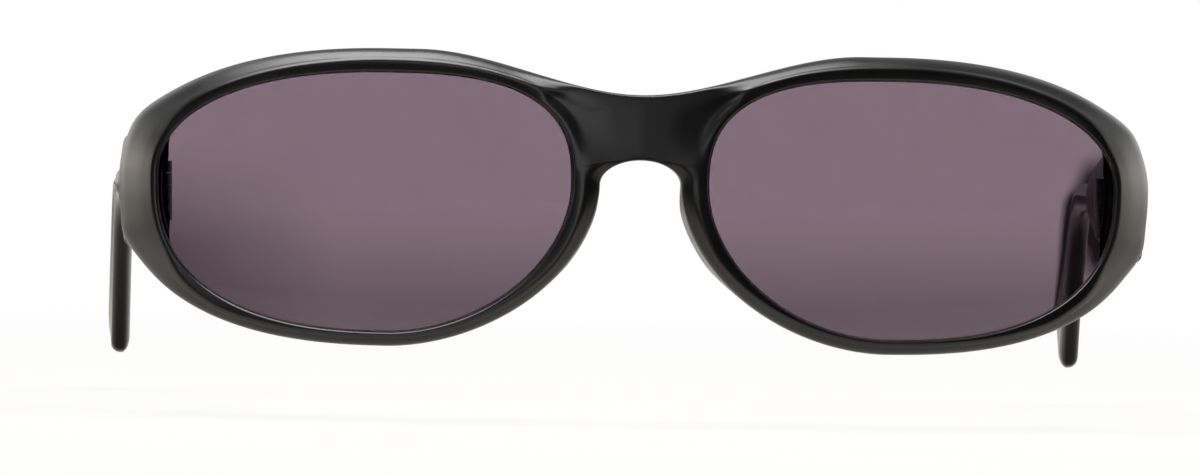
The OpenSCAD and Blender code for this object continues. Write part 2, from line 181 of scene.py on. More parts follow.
def rod_solid(radius, low, high, place, sides=48):
    angles = [2 * math.pi * k / sides for k in range(sides)]
    ring = [(radius * math.cos(a), radius * math.sin(a)) for a in angles]
    points = [place @ Vector((x, y, z)) for z in (low, high) for x, y in ring]
    faces = [[k, (k + 1) % sides, sides + (k + 1) % sides, sides + k] for k in range(sides)]
    faces += [list(range(sides))[::-1], list(range(sides, 2 * sides))]
    return points, faces


def at_hinge(side, turn):
    """The place of a hinge pin, with x along the arm folded square and turn the angle from there."""
    lift = RISE_RIGHT if side == "right" else -DROP_LEFT
    flip = Matrix.Identity(4) if side == "right" else Matrix.Scale(-1, 4, (1, 0, 0))
    return (
        flip
        @ Matrix.Translation((-PIN_X, PIN_BACK, PIN_Z))
        @ Matrix.Rotation(math.radians(-lift), 4, "Y")
        @ Matrix.Rotation(math.radians(turn), 4, "Z")
    )


# Outline of the front
BROW_STEPS, RIM_STEPS, ARCH_STEPS, BRIDGE_STEPS = 48, 60, 14, 10
ARCH_END = BROW_STEPS + 3 * RIM_STEPS + ARCH_STEPS


def quarter(a):
    if math.cos(a) >= 0:
        return 0 if math.sin(a) >= 0 else 3
    return 1 if math.sin(a) >= 0 else 2


def oval_radius(a, reach, power):
    n = power[quarter(a)]
    h = reach[0] if math.cos(a) >= 0 else reach[1]
    v = reach[2] if math.sin(a) >= 0 else reach[3]
    return (abs(math.cos(a) / h) ** n + abs(math.sin(a) / v) ** n) ** (-1 / n)


def oval_point(t, reach, power):
    n = power[quarter(t)]
    h = reach[0] if math.cos(t) >= 0 else -reach[1]
    v = reach[2] if math.sin(t) >= 0 else -reach[3]
    x = OVAL_X + h * abs(math.cos(t)) ** (2 / n)
    return Vector((x, BROW_Z + v * abs(math.sin(t)) ** (2 / n)))


def rim_point(t):
    """The rim's outline: an oval with a corner above and below the temple's end."""
    p = oval_point(t, RIM_REACH, RIM_POWER)
    if p.x < OVAL_X:
        return p
    share = math.exp(-(((abs(p.y - BROW_Z) - CORNER_RISE) / CORNER_FADE) ** 2))
    return p + (p - Vector((OVAL_X, BROW_Z))).normalized() * CORNER_OUT * share


def brow_line(x):
    return mix(BRIDGE_TOP, BROW_TOP, smooth(x / BROW_BLEND))


def front_outline():
    """Stations round one half: brow, rim, nose arch, then up the middle of the bridge."""
    brow = [OVAL_X * i / BROW_STEPS for i in range(BROW_STEPS)]
    points = [Vector((x, brow_line(x))) for x in brow]
    points += [rim_point(math.pi / 2 * (1 - i / RIM_STEPS)) for i in range(3 * RIM_STEPS)]
    for i in range(ARCH_STEPS + 1):
        t = math.pi / 2 * i / ARCH_STEPS
        points.append(Vector((NOSE_HALF * math.cos(t), BROW_Z + ARCH_RISE * math.sin(t))))
    for i in range(BRIDGE_STEPS + 1):
        z = mix(ARCH_TOP + EDGE_R, BRIDGE_TOP - EDGE_R, i / BRIDGE_STEPS)
        points.append(Vector((0, z)))
    points[ARCH_END].x = 0
    return points


def outline_normal(outline, i):
    if i == 0:
        return Vector((0, 1))
    if i == ARCH_END:
        return Vector((0, -1))
    if i > ARCH_END:
        return Vector((-1, 0))
    v = outline[(i + 1) % len(outline)] - outline[i - 1]
    return Vector((-v.y, v.x)).normalized()


# Section of the front. Its levels count backwards from the sphere that the lenses follow.
RIM_EDGE_FRONT, END_EDGE_FRONT, PANEL_FRONT, VALLEY_FRONT = -0.9, 1.1, -2.08, -1.86
RIM_EDGE_R, EDGE_SHARE = 0.9, 0.4
RIM_CROWN, END_CROWN = 0.12, 0.3
END_RIDGE, BRIDGE_CREST, CREST_DROP = 0.95, 1.0, 0.1
LIP_EDGE, LIP_OUT, LIP_SLOPE = 0.04, 0.3, 0.24
SLOPE_DROP, SLOPE_LEAST = 0.03, 0.2
BACK_BEVEL, BACK_DROP, PAD_SHARE, LIP_START = 0.35, 0.15, 0.35, 0.05

# Distance of the groove between ridge and band from the ridge, and its rounding: rims, bridge
VALLEY_OUT, VALLEY_R = (0.5, 1.1), (0.3, 0.7)

# Where a form starts and over what distance it grows, going in towards the middle: over the nose
# arch, under it, and the flat edge. The crease beside the bridge does so going up.
PANEL_FADE, ARCH_FADE, FLAT_FADE = (12.5, 4.5), (7.5, 5), (19, 11)
OVER_ARCH, CREASE_FROM, CREASE_OVER = 0.1, 5.5, 8

# Over what distance the block at the temple ends: its back, its ridge and its edge
END_FADE, RIDGE_FADE, SLOPE_FADE = 2.6, 6, 8

# How far a pad keeps from the lens's middle and the arch's top, and over what distance it ends
PAD_CLEAR, PAD_UNDER, PAD_FADE = 10, 1.5, 5

# The lip behind a lens, and how much further it reaches in beside the temple
REAR_LIP, REAR_LIP_MORE, REAR_LIP_HALF, REAR_LIP_FADE = 0.03, 1.35, 10, 5.5

# How far the face's edge dips at the top of the middle plane, as a share of its radius
MIDDLE_DIP = 0.3

# Steps in the rounding of each corner: in front, round the outer edge, and behind. A rounding
# takes at most ROUND_SHARE of a side.
FACE_STEPS, EDGE_STEPS, BACK_STEPS = (0, 0, 2, 4, 6, 3, 6), 5, (3, 2, 2, 0, 0, 0)
ROUND_SHARE = 0.45

# The number of the section's point on the outer edge, where its front rounding ends
EDGE_LEVEL = sum(n + 1 for n in FACE_STEPS) + EDGE_STEPS


def wrap_y(x, z, back):
    return WRAP_R - math.sqrt((WRAP_R - back) ** 2 - x * x - z * z)


def end_piece(p, fade):
    """1 at the block that the temple meets, 0 away from it."""
    if p.x < OVAL_X:
        return 0
    return smooth((TEMPLE_H / 2 + END_OVER + fade - abs(p.y - PIN_Z)) / fade)


def nose_pad(p):
    """1 at the middle of a nose pad, 0 away from it."""
    if p.x > OVAL_X - PAD_CLEAR or p.y > ARCH_TOP - PAD_UNDER:
        return 0
    return smooth((PAD_HALF - abs(p.y - PAD_MID)) / PAD_FADE)


def near_middle(p, fade):
    return smooth((fade[0] - p.x) / fade[1])


def edge_curve(a, b, c, t):
    """A point on the curve from a to c that leans towards b."""
    return a * (1 - t) ** 2 + b * 2 * t * (1 - t) + c * t * t


def rim_section(outline, i):
    """Corners of the front's section at a station, each with its rounding's radius and steps.

    A ray from the middle of the lens, c, meets the lens opening at q and the outline at p.
    """
    p = outline[i]
    c = Vector((OVAL_X, BROW_Z))
    ray = (p - c).normalized()
    q = c + ray * oval_radius(math.atan2(ray.y, ray.x), LENS_REACH, LENS_POWER)
    w = (p - q).length
    n = outline_normal(outline, i)
    mid = i > ARCH_END
    flush = Vector((EDGE_R if i in (0, ARCH_END) else 0, 0))
    e, slope, pad = end_piece(p, END_FADE), end_piece(p, SLOPE_FADE), nose_pad(p)
    over_arch = p.y > ARCH_TOP + OVER_ARCH
    bridge = near_middle(p, PANEL_FADE if over_arch else ARCH_FADE)
    flat = near_middle(p, FLAT_FADE) if over_arch else bridge
    crease = bridge * smooth((p.y - CREASE_FROM) / CREASE_OVER)
    ridge = mix(min(RIDGE_IN, w - BAND_W), END_RIDGE, end_piece(p, RIDGE_FADE))

    # The outer edge: its level, and where its rounding starts in front and ends behind
    edge = mix(mix(RIM_EDGE_FRONT, END_EDGE_FRONT, slope), PANEL_FRONT, flat)
    edge_r = mix(RIM_EDGE_R, EDGE_R, bridge)
    if mid:
        climb = (p.y - ARCH_TOP - EDGE_R) / (BRIDGE_H - 2 * EDGE_R)
        inset = start = Vector((EDGE_R, p.y - MIDDLE_DIP * EDGE_R * climb))
    else:
        inset = p - n * EDGE_R + flush
        start = p - n * edge_r + flush

    # The band between the ridge and the outer edge
    band = mix(q + ray * ridge, start, 0.5)
    band_y = mix(-RIDGE_FRONT, edge, EDGE_SHARE) - mix(RIM_CROWN, END_CROWN, e)
    band_y = mix(band_y, PANEL_FRONT, bridge)
    start_y = PANEL_FRONT if mid else mix(edge, band_y, min(1, edge_r / (p - band).length))

    # The back, with the nose pad and the block at the temple
    lean = n * PAD_LEAN * pad
    pad_y = RIM_BACK + PAD_OUT * pad
    back_inset = inset if mid else inset + lean
    back_mid = mix(mix(q, back_inset, 0.5), q + ray * (w - TEMPLE_T - END_OVER), e)

    def at(v, back, butt=None, k=0.0):
        y = wrap_y(v.x, v.y, back)
        return Vector((v.x, y if butt is None else mix(y, butt, k), v.y))

    crest = mix(ridge, min(ridge, BRIDGE_CREST), bridge)
    valley = crest + mix(*VALLEY_OUT, bridge)
    run = max(SLOPE_LEAST, (band - q).length - crest)
    slope_y = mix(-RIDGE_FRONT, band_y, clamp01((valley - crest) / run)) - SLOPE_DROP
    beside = 0 if p.x < OVAL_X else smooth((REAR_LIP_HALF - abs(p.y - PIN_Z)) / REAR_LIP_FADE)
    rear_lip = REAR_LIP + REAR_LIP_MORE * beside
    face = [
        (at(q + ray * GROOVE, -GROOVE_HALF), 0),
        (at(q, -GROOVE_HALF), 0),
        (at(q + ray * LIP_EDGE, -GROOVE_HALF - LIP_T), 0.1),
        (at(q + ray * LIP_OUT, -RIDGE_FRONT + LIP_SLOPE * (crest - LIP_OUT)), 0.22),
        (at(q + ray * crest, -RIDGE_FRONT + CREST_DROP * bridge), 0.5),
        (at(q + ray * valley, mix(slope_y, VALLEY_FRONT, crease)), mix(*VALLEY_R, bridge)),
        (at(band, band_y), 1.4),
    ]
    back = [
        (at(back_mid, RIM_BACK + PAD_SHARE * PAD_OUT * pad, BUTT_Y, e), 0.5),
        (at(q + ray * BACK_BEVEL, RIM_BACK - BACK_DROP), 0.25),
        (at(q - ray * rear_lip, GROOVE_HALF + LIP_T), 0.1),
        (at(q - ray * rear_lip, GROOVE_HALF + LIP_START), 0),
        (at(q, GROOVE_HALF), 0),
        (at(q + ray * GROOVE, GROOVE_HALF), 0),
    ]
    outer = []
    for s in range(EDGE_STEPS + 1):
        t = s / EDGE_STEPS
        if mid:
            outer.append(at(mix(inset, p, t), PANEL_FRONT))
        else:
            outer.append(edge_curve(at(start, start_y), at(p, edge), at(p, edge + edge_r), t))
    for s in range(EDGE_STEPS + 1):
        t = math.pi / 2 * s / EDGE_STEPS
        v = mix(p + lean, back_inset, 1 - math.cos(t))
        low, high = (RIM_BACK, RIM_BACK) if mid else (pad_y - EDGE_R, pad_y)
        butt = mix(BUTT_Y - EDGE_R, BUTT_Y, math.sin(t))
        outer.append(at(v, mix(low, high, math.sin(t)), butt, e))
    return (
        [(v, r, steps) for (v, r), steps in zip(face, FACE_STEPS)]
        + [(v, 0, 0) for v in outer]
        + [(v, r, steps) for (v, r), steps in zip(back, BACK_STEPS)]
    )


def rounded(corners):
    """The closed section, with each corner rounded where it has steps for that."""
    points, count = [], len(corners)
    for k, (p, r, steps) in enumerate(corners):
        if not steps:
            points.append(p)
            continue
        a, b = corners[k - 1][0] - p, corners[(k + 1) % count][0] - p
        ra, rb = min(r, ROUND_SHARE * a.length), min(r, ROUND_SHARE * b.length)
        a, b = p + a.normalized() * ra, p + b.normalized() * rb
        points += [edge_curve(a, p, b, s / steps) for s in range(steps + 1)]
    return points


def mitres(loop):
    """Extra stations that carry the rounded edge square onto the middle plane at the bridge."""
    out = []
    for k in range(1, EDGE_STEPS):
        new = list(loop)
        start, end = EDGE_LEVEL - EDGE_STEPS + k, EDGE_LEVEL + 1 + EDGE_STEPS - k
        for base, first, last in ((start, start + 1, EDGE_LEVEL), (end, EDGE_LEVEL + 1, end - 1)):
            middle = Vector((0, loop[base].y, loop[base].z))
            for j in range(first, last + 1):
                new[j] = mix(loop[base], middle, abs(j - base) / (EDGE_STEPS - k))
        out.append(new)
    return out


# How far a recess is larger than the plate in it, and how far its cutter stands out of the plastic
CUT_OVER, CUT_PAST = 0.02, 0.5


def make_front(material):
    """The moulded front: one half swept round its outline, its mirror image, and the hinge cuts."""
    outline = front_outline()
    loops = [rounded(rim_section(outline, i)) for i in range(len(outline))]
    levels = len(loops[0])
    foot, head = mitres(loops[ARCH_END])[::-1], mitres(loops[0])
    loops = loops[: ARCH_END + 1] + foot + loops[ARCH_END + 1 :] + head
    stations = len(loops)
    half = [p for loop in loops for p in loop]
    other = [Vector((-p.x, p.y, p.z)) for p in half]
    quads = []
    for i in range(stations):
        for j in range(levels):
            if i >= ARCH_END and j == EDGE_LEVEL:
                continue
            k, m = (i + 1) % stations, (j + 1) % levels
            quads.append([i * levels + j, i * levels + m, k * levels + m, k * levels + j])
    count = len(half)
    faces = quads + [[v + count for v in reversed(f)] for f in quads]
    piece = new_piece("front", half + other, faces, material)
    tall, deep = HINGE_H / 2 + CUT_OVER, -PLATE_T - BUTT_GAP / 2 - CUT_OVER
    bore = HINGE_H / 2 + PLATE_GAP
    for side in ("right", "left"):
        place = at_hinge(side, 0)
        low = (-LEAF_OFFSET - FRONT_PLATE_W - CUT_OVER, deep, -tall)
        cut(piece, "plate_cut", box_solid(low, (-LEAF_OFFSET + CUT_PAST, CUT_PAST, tall), place))
        cut(piece, "knuckle_cut", rod_solid(KNUCKLE_R + PLATE_GAP, -bore, bore, place))
    return settle(piece, "front", ["front_frame"])


# Lenses
LENS_AROUND, LENS_RINGS, LENS_CHAMFER = 192, 20, 0.12


def make_lens(side, material):
    around, rings, chamfer = LENS_AROUND, LENS_RINGS, LENS_CHAMFER
    sign = 1 if side == "left" else -1
    edge = GROOVE - LENS_FIT

    def ring(fraction, trim, back):
        out = []
        for k in range(around):
            a = 2 * math.pi * k / around
            r = (oval_radius(a, LENS_REACH, LENS_POWER) + edge) * fraction - trim
            x, z = OVAL_X + r * math.cos(a), BROW_Z + r * math.sin(a)
            out.append(Vector((sign * x, wrap_y(x, z, back), z)))
        return out

    half = LENS_T / 2
    loops = [ring(i / rings, chamfer * i / rings, -half) for i in range(1, rings + 1)]
    loops.append(ring(1, 0, -half + chamfer))
    loops.append(ring(1, 0, half - chamfer))
    loops += [ring(i / rings, chamfer * i / rings, half) for i in range(rings, 0, -1)]
    points = [p for loop in loops for p in loop]
    faces = ring_quads(len(loops) - 1, around)
    for back, base in ((-half, 0), (half, (len(loops) - 1) * around)):
        points.append(Vector((sign * OVAL_X, wrap_y(OVAL_X, BROW_Z, back), BROW_Z)))
        pole = len(points) - 1
        faces += [[base + k, base + (k + 1) % around, pole] for k in range(around)]
    piece = new_piece(side + "_tinted_lens", points, faces, material)
    return settle(piece, "front", [side + "_lens"])


# Temples and tips
TEMPLE_FORM = {"inner_r": 0.5, "outer_r": 1.2, "crown": 0.12, "soft": 1}
TIP_FORM = {"inner_r": 1.1, "outer_r": 1.3, "crown": 0.1, "soft": 2.2}
ROUND_STEPS, CROWN_STEPS, CROWN_SHARE = 8, 10, 0.9

# The most that a corner takes of half the height, and inside and outside of the thickness
MOST_TALL, MOST_INSIDE, MOST_OUTSIDE = 0.8, 0.45, 0.5


def line_point(s):
    """Place and heading on an arm's centre line: straight, round the ear bend, straight again."""
    a = min(math.radians(BEND_DEG), max(0.0, s - BEND_AT) / BEND_R)
    rest = max(0.0, s - BEND_AT - BEND_LEN)
    x = min(s, BEND_AT) + BEND_R * math.sin(a) + rest * math.cos(a)
    return x, -BEND_R * (1 - math.cos(a)) - rest * math.sin(a), a


def arm_section(h, t, inner_r, outer_r, crown, soft):
    """Flat inner face, crowned outer face and round corners, as (y, height) points."""
    ri = min(inner_r, MOST_TALL * h, MOST_INSIDE * t)
    ro = min(outer_r, MOST_TALL * h, MOST_OUTSIDE * t)
    k, reach = crown * t, min(soft * ri, MOST_TALL * h)

    def arc(y, z, r, rise, start, end):
        angles = [math.radians(mix(start, end, i / ROUND_STEPS)) for i in range(ROUND_STEPS + 1)]
        return [(y + r * math.cos(a), z + rise * math.sin(a)) for a in angles]

    spots = [mix(-CROWN_SHARE, CROWN_SHARE, i / CROWN_STEPS) for i in range(CROWN_STEPS + 1)]
    return (
        arc(ri, -h + reach, ri, reach, 180, 270)
        + arc(t - k - ro, -h + ro, ro, ro, -90, 0)
        + [(t - k * smooth(abs(u)), u * (h - ro)) for u in spots]
        + arc(t - k - ro, h - ro, ro, ro, 0, 90)
        + arc(ri, h - reach, ri, reach, 90, 180)
    )


def arm_ring(s, y, section, place):
    x, z, a = line_point(s)
    return [place @ Vector((x + v * math.sin(a), y + u, z + v * math.cos(a))) for u, v in section]


def swept(rings):
    """Points and faces of a solid through closed rings, with flat ends."""
    sides, last = len(rings[0]), len(rings) - 1
    faces = ring_quads(last, sides)
    faces.append(list(range(sides))[::-1])
    faces.append([last * sides + j for j in range(sides)])
    return [p for ring in rings for p in ring], faces


TEMPLE_STEPS, TEMPLE_ROUND, TEMPLE_POWER = 44, 0.5, 2.2
SEAM_STEP = 0.2  # how much thicker than the tip the temple is where it ends

# The rounding of a temple's two ends, as (share of TEMPLE_ROUND, share of the height)
TEMPLE_START, TEMPLE_STOP = ((0, 0.94), (0.3, 0.98)), ((0.35, 0.94), (0, 0.8))


def temple_half(s):
    return mix(TEMPLE_H, SEAM_H, clamp01(s / SEAM_AT) ** TEMPLE_POWER) / 2


def temple_thick(s):
    return mix(TEMPLE_T, TIP_T + SEAM_STEP, smooth(s / SEAM_AT))


def temple_ring(s, k, place):
    t, f = temple_thick(s), smooth(s / SEAM_AT)
    y = CORE_Y - TEMPLE_T / 2 * (1 - f) - t / 2 * f
    return arm_ring(s, y, arm_section(temple_half(s) * k, t, **TEMPLE_FORM), place)


def make_temple(side, material):
    place = at_hinge(side, 90)
    start, r = BUTT_GAP / 2, TEMPLE_ROUND
    stops = [(start + r * share, k) for share, k in TEMPLE_START]
    for i in range(TEMPLE_STEPS + 1):
        stops.append((mix(start + r, TEMPLE_END - r, i / TEMPLE_STEPS), 1))
    stops += [(TEMPLE_END - r * share, k) for share, k in TEMPLE_STOP]
    points, faces = swept([temple_ring(s, k, place) for s, k in stops])
    piece = new_piece(side + "_temple_shell", points, faces, material)
    from_x, tall = start + PLATE_IN, HINGE_H / 2 + CUT_OVER
    low = (from_x - CUT_OVER, LEAF_OFFSET - CUT_PAST, -tall)
    high = (from_x + PLATE_LEN + CUT_OVER, LEAF_OFFSET + PLATE_T + CUT_OVER, tall)
    cut(piece, "plate_cut", box_solid(low, high, place))
    return settle(piece, side + "_arm", [side + "_temple"])


FLARE_FROM = BEND_AT + 10
PADDLE_R = TIP_WIDE / 2
PADDLE_AT = TIP_END - PADDLE_R
FLARE_TO = PADDLE_AT + 0.7
FLARE_POWER, FLARE_SOFT = 2.1, 1.1
START_ARC = 0.8  # how much of a quarter circle's radius the rounding of the start covers
THIN_LEAST, THIN_POWER = 0.45, 0.8  # the share of its thickness that a rounded end keeps
TIP_SHARP_DEG = 40

# Rings of a tip: at shares of its start's rounding, then so many up to the bend, round it, along
# the flare and over the paddle, whose last ring stops just short of its end
START_RINGS = (0, 0.12, 0.25, 0.42, 0.6, 0.8, 1)
STRAIGHT_RINGS, BEND_RINGS, FLARE_RINGS, PADDLE_RINGS, PADDLE_DEG = 12, 20, 16, 18, 88.5


def tip_half(s):
    u = clamp01((s - FLARE_FROM) / (FLARE_TO - FLARE_FROM))
    return mix(TIP_SLIM, TIP_WIDE, 1 - (1 - u**FLARE_POWER) ** FLARE_SOFT) / 2


def tip_cap(s):
    """Share of the tip's size left by the rounding of its start and the end of its paddle."""
    if s < TIP_START + START_ROUND:
        return math.sqrt(1 - ((TIP_START + START_ROUND - s) / START_ROUND * START_ARC) ** 2)
    if s > PADDLE_AT:
        return math.sqrt(max(0.0, 1 - ((s - PADDLE_AT) / PADDLE_R) ** 2))
    return 1.0


def make_tip(side, material):
    place = at_hinge(side, 90)
    straight, bent = TIP_START + START_ROUND, BEND_AT + BEND_LEN
    stops = [TIP_START + START_ROUND * k for k in START_RINGS]
    for i in range(1, STRAIGHT_RINGS + 1):
        stops.append(mix(straight, BEND_AT, i / STRAIGHT_RINGS))
    stops += [BEND_AT + BEND_LEN * i / BEND_RINGS for i in range(1, BEND_RINGS + 1)]
    stops += [mix(bent, PADDLE_AT, i / FLARE_RINGS) for i in range(1, FLARE_RINGS + 1)]
    for i in range(1, PADDLE_RINGS + 1):
        turn = math.radians(PADDLE_DEG * i / PADDLE_RINGS)
        stops.append(PADDLE_AT + PADDLE_R * math.sin(turn))
    rings = []
    for s in stops:
        k = tip_cap(s)
        t = TIP_T * mix(THIN_LEAST, 1, k**THIN_POWER)
        section = arm_section(tip_half(s) * k, t, **TIP_FORM)
        rings.append(arm_ring(s, CORE_Y - t / 2, section, place))
    points, faces = swept(rings)
    piece = new_piece(side + "_tip", points, faces, material)
    return settle(piece, side + "_arm", [side + "_temple_tip"], TIP_SHARP_DEG)


# Shader nodes
def node_material(name):
    mat = bpy.data.materials.new(name)
    mat.use_nodes = True
    tree = mat.node_tree
    return mat, tree, tree.nodes["Principled BSDF"]


def noise(tree, scale, detail=3.0, stretch=(1, 1, 1)):
    """Noise in the object's own metres, stretched along an axis where that is asked for."""
    coord = tree.nodes.new("ShaderNodeTexCoord")
    mapping = tree.nodes.new("ShaderNodeMapping")
    mapping.inputs["Scale"].default_value = stretch
    tex = tree.nodes.new("ShaderNodeTexNoise")
    tex.inputs["Scale"].default_value = scale
    tex.inputs["Detail"].default_value = detail
    tree.links.new(coord.outputs["Object"], mapping.inputs["Vector"])
    tree.links.new(mapping.outputs["Vector"], tex.inputs["Vector"])
    return tex.outputs["Fac"]


def axes_of(tree, space):
    """The coordinates of a point in a space, by the names X, Y and Z."""
    coord = tree.nodes.new("ShaderNodeTexCoord")
    split = tree.nodes.new("ShaderNodeSeparateXYZ")
    tree.links.new(coord.outputs[space], split.inputs["Vector"])
    return split.outputs


def spread(tree, value, low, high, start=0.35, end=0.65):
    """Maps start..end to low..high. Without start and end, a noise's middle range."""
    ramp = tree.nodes.new("ShaderNodeMapRange")
    ramp.inputs["From Min"].default_value = start
    ramp.inputs["From Max"].default_value = end
    ramp.inputs["To Min"].default_value = low
    ramp.inputs["To Max"].default_value = high
    tree.links.new(value, ramp.inputs["Value"])
    return ramp.outputs["Result"]


def calculate(tree, operation, *values):
    """The result of a math node, each value being a number or another node's output."""
    node = tree.nodes.new("ShaderNodeMath")
    node.operation = operation
    for socket, value in zip(node.inputs, values):
        if isinstance(value, (int, float)):
            socket.default_value = value
        else:
            tree.links.new(value, socket)
    return node.outputs["Value"]


def blend(tree, factor, first, second):
    """A colour between two, each being a colour or another node's output."""
    node = tree.nodes.new("ShaderNodeMix")
    node.data_type = "RGBA"
    for key, colour in (("A", first), ("B", second)):
        if isinstance(colour, tuple):
            node.inputs[key].default_value = (*colour, 1)
        else:
            tree.links.new(colour, node.inputs[key])
    tree.links.new(factor, node.inputs["Factor"])
    return node.outputs["Result"]


def bump(tree, shader, layers):
    """Stacks bump layers, each (height, distance in metres, strength)."""
    normal = None
    for height, distance, strength in layers:
        node = tree.nodes.new("ShaderNodeBump")
        node.inputs["Distance"].default_value = distance
        node.inputs["Strength"].default_value = strength
        tree.links.new(height, node.inputs["Height"])
        if normal is not None:
            tree.links.new(normal, node.inputs["Normal"])
        normal = node.outputs["Normal"]
    tree.links.new(normal, shader.inputs["Normal"])


# Materials
BLACK_TONES = ((0.0012, 0.0012, 0.0013), (0.002, 0.002, 0.0021))
TEMPLE_TONES = ((0.0016, 0.0016, 0.0018), (0.0026, 0.0026, 0.0028))


def plastic(name, dark, light, rough, rough_spread, grain, shine):
    """Moulded plastic: slight mottling, handling haze in the roughness, fine grain and hairlines."""
    mat, tree, shader = node_material(name)
    mottle = spread(tree, noise(tree, 90), 0, 1)
    tree.links.new(blend(tree, mottle, dark, light), shader.inputs["Base Color"])
    haze = spread(tree, noise(tree, 140, 4), rough - rough_spread, rough + rough_spread)
    tree.links.new(haze, shader.inputs["Roughness"])
    shader.inputs["IOR"].default_value = 1.49
    shader.inputs["Specular IOR Level"].default_value = shine
    waves = (noise(tree, 60, 1), 0.00012, 0.25)
    pores = (noise(tree, 5200, 2), 0.000008, grain)
    hairlines = (noise(tree, 2600, 2, (1, 1, 0.06)), 0.000004, 0.5 * grain)
    bump(tree, shader, [waves, pores, hairlines])
    return mat


def metal(name, colour, rough, stretch):
    """Brushed metal with lines along one axis and a little staining."""
    mat, tree, shader = node_material(name)
    dark = tuple(0.72 * c for c in colour)
    stains = spread(tree, noise(tree, 400, 4), 0, 1)
    tree.links.new(blend(tree, stains, dark, colour), shader.inputs["Base Color"])
    shader.inputs["Metallic"].default_value = 1.0
    lines = noise(tree, 2400, 2, stretch)
    tree.links.new(spread(tree, lines, rough * 0.8, rough * 1.25), shader.inputs["Roughness"])
    bump(tree, shader, [(lines, 0.00001, 0.5)])
    return mat


def tinted_glass():
    """Tinted lens, with a faint film of handling marks."""
    mat, tree, shader = node_material("lens_tint")
    shader.inputs["Base Color"].default_value = (0.19, 0.134, 0.166, 1)
    shader.inputs["Transmission Weight"].default_value = 1.0
    shader.inputs["IOR"].default_value = 1.5
    film = spread(tree, noise(tree, 70, 3), 0.0, 0.012)
    tree.links.new(film, shader.inputs["Roughness"])
    return mat


# Floor, world and the card behind the object, in metres
FLOOR_Z, FLOOR_Y, FLOOR_R, FLOOR_RINGS, FLOOR_AROUND = -0.0296, 0.06, 3.0, 24, 64
FLOOR_TONES = ((0.84, 0.84, 0.84), (0.88, 0.88, 0.88))
# Painted dark reflection: the floor's tone ahead of the object, as plastic mirrors it
PAINTED_DARK_REFLECTION = (0.03, 0.03, 0.03)
CARD_Y, CARD_HALF, CARD_TOP = 0.168, 0.45, 0.37
# Painted shade on the card: its tone below the temples, its tone above them, and black for its dark
# corner
SHADED_CARD_TONE, UNSHADED_CARD_TONE, CORNER_SHADE_BLACK = (0.026, 0.026, 0.026), (0.05, 0.05, 0.05), (0.0, 0.0, 0.0)

# The card's glow, painted fill light, outside its dark corner and in it, and how dark the corner's
# painted shade gets
PAINTED_FILL_GLOW, CORNER_SHADE_DARKNESS = (0.03, 0.14), 0.68

# Heights over which the card's painted shade gives way to its bright top and the corner's painted
# shade fades, and where that corner ends sideways
PAINTED_SHADE_RAMP, CORNER_SHADE_RAMP, CORNER_SHADE_SIDE = (-0.019, -0.004), (-0.009, 0.005), (-0.062, -0.036)


def seen_directly(tree, path):
    """1 for a ray from the camera, also through the lenses, and 0 once it has bounced."""
    bounces = calculate(tree, "ADD", path.outputs["Diffuse Depth"], path.outputs["Glossy Depth"])
    unbounced = calculate(tree, "LESS_THAN", bounces, 0.5)
    through = calculate(tree, "MULTIPLY", path.outputs["Is Transmission Ray"], unbounced)
    return calculate(tree, "MAXIMUM", path.outputs["Is Camera Ray"], through)


def floor_material():
    """Pale and shaded near the object, plain white further off. Reflections of its part ahead are
    painted dark.
    """
    mat = bpy.data.materials.new("floor_pale")
    mat.use_nodes = True
    tree = mat.node_tree
    tree.nodes.clear()
    out = tree.nodes.new("ShaderNodeOutputMaterial")
    path = tree.nodes.new("ShaderNodeLightPath")
    diffuse = tree.nodes.new("ShaderNodeBsdfDiffuse")
    pale = blend(tree, spread(tree, noise(tree, 18, 3), 0, 1), *FLOOR_TONES)
    ahead = spread(tree, axes_of(tree, "Object")["Y"], 1.0, 0.0, -0.14, -0.07)
    # Painted dark reflection where glossy rays meet the floor ahead
    mirrored = calculate(tree, "MULTIPLY", path.outputs["Is Glossy Ray"], ahead)
    tree.links.new(blend(tree, mirrored, pale, PAINTED_DARK_REFLECTION), diffuse.inputs["Color"])
    white = tree.nodes.new("ShaderNodeEmission")
    seen = seen_directly(tree, path)
    coord = tree.nodes.new("ShaderNodeTexCoord")
    length = tree.nodes.new("ShaderNodeVectorMath")
    length.operation = "LENGTH"
    tree.links.new(coord.outputs["Object"], length.inputs[0])
    fade = spread(tree, length.outputs["Value"], 0.88, 1.0, 0.1, 0.7)
    mixed = tree.nodes.new("ShaderNodeMixShader")
    tree.links.new(calculate(tree, "MULTIPLY", seen, fade), mixed.inputs["Fac"])
    tree.links.new(diffuse.outputs["BSDF"], mixed.inputs[1])
    tree.links.new(white.outputs["Emission"], mixed.inputs[2])
    tree.links.new(mixed.outputs["Shader"], out.inputs["Surface"])
    return mat


def make_floor():
    """A pale round floor that fades to plain white away from the object and keeps its shadow."""
    rings, around = FLOOR_RINGS, FLOOR_AROUND
    angles = [2 * math.pi * k / around for k in range(around)]
    points = [Vector((0, 0, 0))]
    for i in range(1, rings + 1):
        r = FLOOR_R * (i / rings) ** 2
        points += [Vector((r * math.cos(a), r * math.sin(a), 0)) for a in angles]
    faces = [[0, 1 + k, 1 + (k + 1) % around] for k in range(around)]
    for i in range(rings - 1):
        for k in range(around):
            m = (k + 1) % around
            a, b = 1 + i * around, 1 + (i + 1) * around
            faces.append([a + k, b + k, b + m, a + m])
    mesh = bpy.data.meshes.new("floor")
    mesh.from_pydata(points, [], faces)
    floor = add_object("floor", mesh)
    floor.location = (0, FLOOR_Y, FLOOR_Z)
    mesh.materials.append(floor_material())
    return floor


